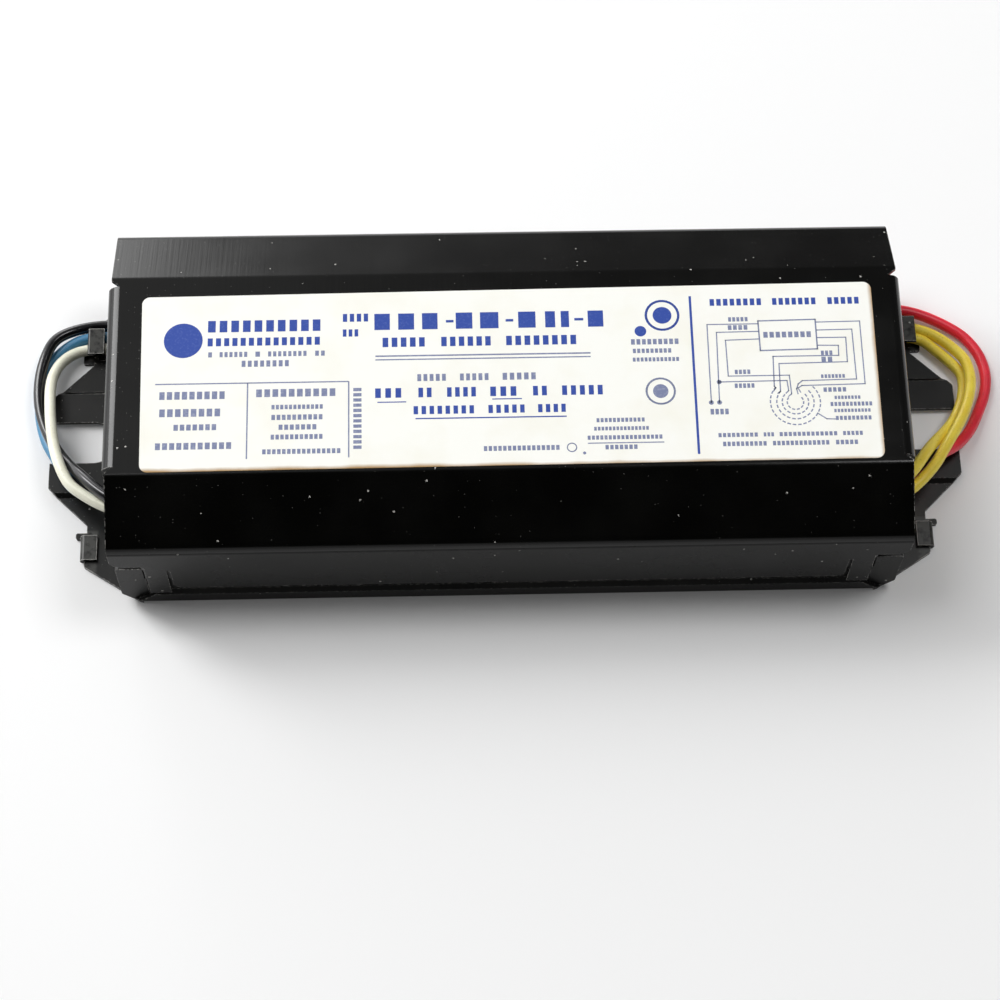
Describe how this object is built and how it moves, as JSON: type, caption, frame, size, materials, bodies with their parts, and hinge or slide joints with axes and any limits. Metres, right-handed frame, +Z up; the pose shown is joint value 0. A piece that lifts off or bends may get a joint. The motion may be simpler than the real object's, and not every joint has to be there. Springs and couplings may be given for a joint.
{
  "type": "fluorescent lamp ballast",
  "caption": "Magnetic fluorescent lamp ballast: a long black steel can with sloped shoulders on a base plate with slotted mounting ears, a printed label and coloured wire leads at both ends.",
  "frame": {"origin": "centre of the base's footprint, on the surface that the base plate lies on", "axes": "+X along the can towards the red and yellow leads, +Y towards the side where the leads are tucked under their clips, +Z up through the label"},
  "size_m": [0.225, 0.079, 0.0366],
  "materials": {
    "black_paint": "gloss black enamel on folded sheet steel, worn at the bends",
    "label_paper": "off-white printed paper label with blue print, browned at its edge",
    "core_steel": "stacked silicon steel laminations",
    "insulation_paper": "tan insulating paper",
    "bobbin_board": "pressed insulating board",
    "copper_wire": "enamelled copper winding",
    "capacitor_metal": "drawn aluminium can",
    "terminal_metal": "tinned brass terminals and crimps",
    "resistor_body": "moulded carbon resistor body",
    "protector_metal": "plated steel case of the thermal protector",
    "potting_compound": "black potting compound, matt",
    "white_insulation": "white wire insulation",
    "black_insulation": "black wire insulation",
    "blue_insulation": "light blue wire insulation",
    "red_insulation": "red wire insulation",
    "yellow_insulation": "yellow wire insulation"
  },
  "bodies": {
    "root": {"cover": "black_paint", "base_plate": "black_paint", "rating_label": "label_paper", "core_e_stack": "core_steel", "core_i_stack": "core_steel", "magnetic_shunts": "core_steel", "core_gap_paper": "insulation_paper", "floor_liner": "insulation_paper", "capacitor": "capacitor_metal", "capacitor_card": "bobbin_board", "capacitor_terminals": "terminal_metal", "bleed_resistor": "resistor_body", "thermal_protector": "protector_metal", "lead_splices": "terminal_metal", "potting": "potting_compound", "white_lead": "white_insulation", "black_lead": "black_insulation", "blue_lead": "blue_insulation", "red_lead": "red_insulation", "yellow_lead_a": "yellow_insulation", "yellow_lead_b": "yellow_insulation", "primary_bobbin": "bobbin_board", "primary_winding": "copper_wire", "primary_wrap": "insulation_paper", "secondary_bobbin": "bobbin_board", "secondary_winding": "copper_wire", "secondary_wrap": "insulation_paper", "filament_bobbin": "bobbin_board", "filament_winding": "copper_wire", "filament_wrap": "insulation_paper"}
  },
  "joints": []
}
